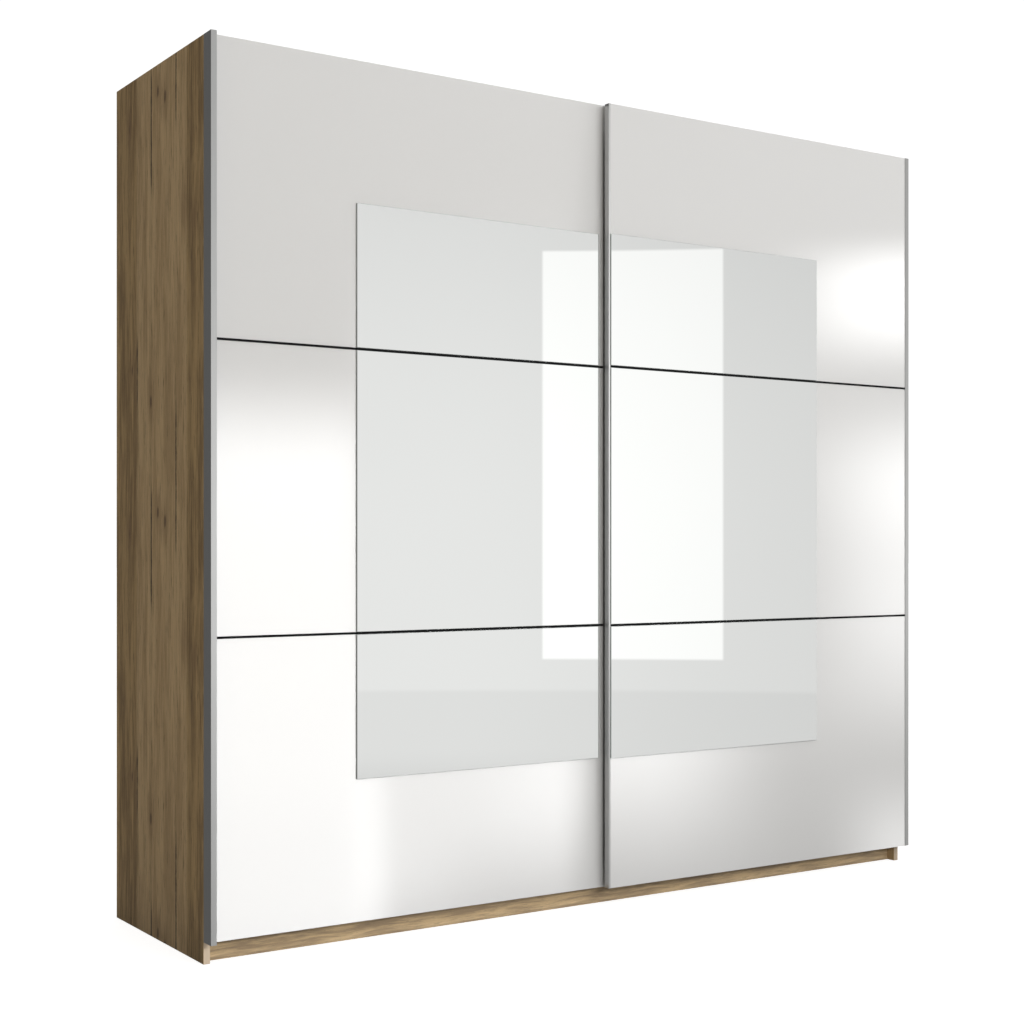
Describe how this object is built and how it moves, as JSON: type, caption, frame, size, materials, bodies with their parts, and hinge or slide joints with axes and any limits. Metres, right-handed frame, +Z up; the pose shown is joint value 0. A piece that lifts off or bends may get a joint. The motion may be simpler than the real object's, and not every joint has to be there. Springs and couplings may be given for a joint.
{
  "type": "sliding door wardrobe",
  "caption": "Sliding door wardrobe with white gloss and mirror doors hung on grooved wheels, black dividing lines, aluminium handle profiles and an oak board carcass.",
  "frame": {"origin": "middle of the footprint, on the floor", "axes": "+X along the width with the left door at -X as seen from the front, -Y out of the doors, +Z up"},
  "size_m": [2.203, 0.6054, 2.0835],
  "materials": {
    "oak_board": "matt oak decor with vertical grain and fine dark cracks",
    "fibreboard": "thin hard fibreboard",
    "white_gloss": "high gloss white foil on board",
    "mirror_glass": "clear silvered glass with polished edges",
    "satin_aluminium": "satin anodised, brushed along its length",
    "black_aluminium": "black anodised",
    "zinc_steel": "zinc plated sheet",
    "chrome": "bright chrome plate",
    "nylon": "moulded nylon",
    "black_plastic": "moulded black plastic",
    "brush_pile": "dense nylon bristles"
  },
  "bodies": {
    "carcass": {"side_panel_left": "oak_board", "side_panel_right": "oak_board", "top_panel": "oak_board", "bottom_panel": "oak_board", "centre_partition": "oak_board", "plinth_front": "oak_board", "plinth_rear": "oak_board", "plinth_centre": "oak_board", "back_panel_left": "fibreboard", "back_panel_right": "fibreboard", "hat_shelf_left": "oak_board", "hat_shelf_right": "oak_board", "shelf_right_upper": "oak_board", "shelf_right_lower": "oak_board", "clothes_rail": "chrome", "rail_socket_outer": "chrome", "rail_socket_inner": "chrome", "running_rail": "satin_aluminium", "guide_rail": "satin_aluminium", "rail_stop_left": "black_plastic", "rail_stop_right": "black_plastic", "wall_bracket_left": "zinc_steel", "wall_bracket_right": "zinc_steel"},
    "left_door": {"left_door_panel_top": "white_gloss", "left_door_panel_middle": "white_gloss", "left_door_panel_bottom": "white_gloss", "left_door_mirror_top": "mirror_glass", "left_door_mirror_middle": "mirror_glass", "left_door_mirror_bottom": "mirror_glass", "left_door_strip_upper": "black_aluminium", "left_door_strip_lower": "black_aluminium", "left_door_handle_profile": "satin_aluminium", "left_door_edge_profile": "satin_aluminium", "left_door_hanger_outer": "zinc_steel", "left_door_hanger_inner": "zinc_steel", "left_door_guide_outer": "zinc_steel", "left_door_guide_inner": "zinc_steel"},
    "right_door": {"right_door_panel_top": "white_gloss", "right_door_panel_middle": "white_gloss", "right_door_panel_bottom": "white_gloss", "right_door_mirror_top": "mirror_glass", "right_door_mirror_middle": "mirror_glass", "right_door_mirror_bottom": "mirror_glass", "right_door_strip_upper": "black_aluminium", "right_door_strip_lower": "black_aluminium", "right_door_handle_profile": "satin_aluminium", "right_door_edge_profile": "satin_aluminium", "right_door_hanger_outer": "zinc_steel", "right_door_hanger_inner": "zinc_steel", "right_door_guide_outer": "zinc_steel", "right_door_guide_inner": "zinc_steel", "right_door_brush_seal": "brush_pile"},
    "left_door_wheel_outer": {"left_door_wheel_outer": "nylon"},
    "left_door_wheel_inner": {"left_door_wheel_inner": "nylon"},
    "left_door_guide_pin_outer": {"left_door_guide_pin_outer": "nylon"},
    "left_door_guide_pin_inner": {"left_door_guide_pin_inner": "nylon"},
    "right_door_wheel_outer": {"right_door_wheel_outer": "nylon"},
    "right_door_wheel_inner": {"right_door_wheel_inner": "nylon"},
    "right_door_guide_pin_outer": {"right_door_guide_pin_outer": "nylon"},
    "right_door_guide_pin_inner": {"right_door_guide_pin_inner": "nylon"}
  },
  "joints": [
    {"name": "left_door_slide", "type": "slide", "parent": "carcass", "child": "left_door", "axis": [1, 0, 0], "range_m": [0, 1.068]},
    {"name": "right_door_slide", "type": "slide", "parent": "carcass", "child": "right_door", "axis": [1, 0, 0], "range_m": [-1.068, 0]},
    {"name": "left_door_wheel_outer_roll", "type": "hinge", "parent": "left_door", "child": "left_door_wheel_outer", "pos_m": [-1.0215, -0.24635, 2.0538], "axis": [0, 1, 0], "continuous": true},
    {"name": "left_door_wheel_inner_roll", "type": "hinge", "parent": "left_door", "child": "left_door_wheel_inner", "pos_m": [-0.0765, -0.24635, 2.0538], "axis": [0, 1, 0], "continuous": true},
    {"name": "left_door_guide_pin_outer_pull", "type": "slide", "parent": "left_door", "child": "left_door_guide_pin_outer", "axis": [0, 0, 1], "range_m": [0, 0.01]},
    {"name": "left_door_guide_pin_inner_pull", "type": "slide", "parent": "left_door", "child": "left_door_guide_pin_inner", "axis": [0, 0, 1], "range_m": [0, 0.01]},
    {"name": "right_door_wheel_outer_roll", "type": "hinge", "parent": "right_door", "child": "right_door_wheel_outer", "pos_m": [1.0215, -0.22635, 2.0538], "axis": [0, 1, 0], "continuous": true},
    {"name": "right_door_wheel_inner_roll", "type": "hinge", "parent": "right_door", "child": "right_door_wheel_inner", "pos_m": [0.0765, -0.22635, 2.0538], "axis": [0, 1, 0], "continuous": true},
    {"name": "right_door_guide_pin_outer_pull", "type": "slide", "parent": "right_door", "child": "right_door_guide_pin_outer", "axis": [0, 0, 1], "range_m": [-0.01, 0]},
    {"name": "right_door_guide_pin_inner_pull", "type": "slide", "parent": "right_door", "child": "right_door_guide_pin_inner", "axis": [0, 0, 1], "range_m": [-0.01, 0]}
  ],
  "couplings": [
    {"joint": "left_door_wheel_outer_roll", "follows": "left_door_slide", "rad_per_m": 66.667},
    {"joint": "left_door_wheel_inner_roll", "follows": "left_door_slide", "rad_per_m": 66.667},
    {"joint": "right_door_wheel_outer_roll", "follows": "right_door_slide", "rad_per_m": 66.667},
    {"joint": "right_door_wheel_inner_roll", "follows": "right_door_slide", "rad_per_m": 66.667}
  ]
}
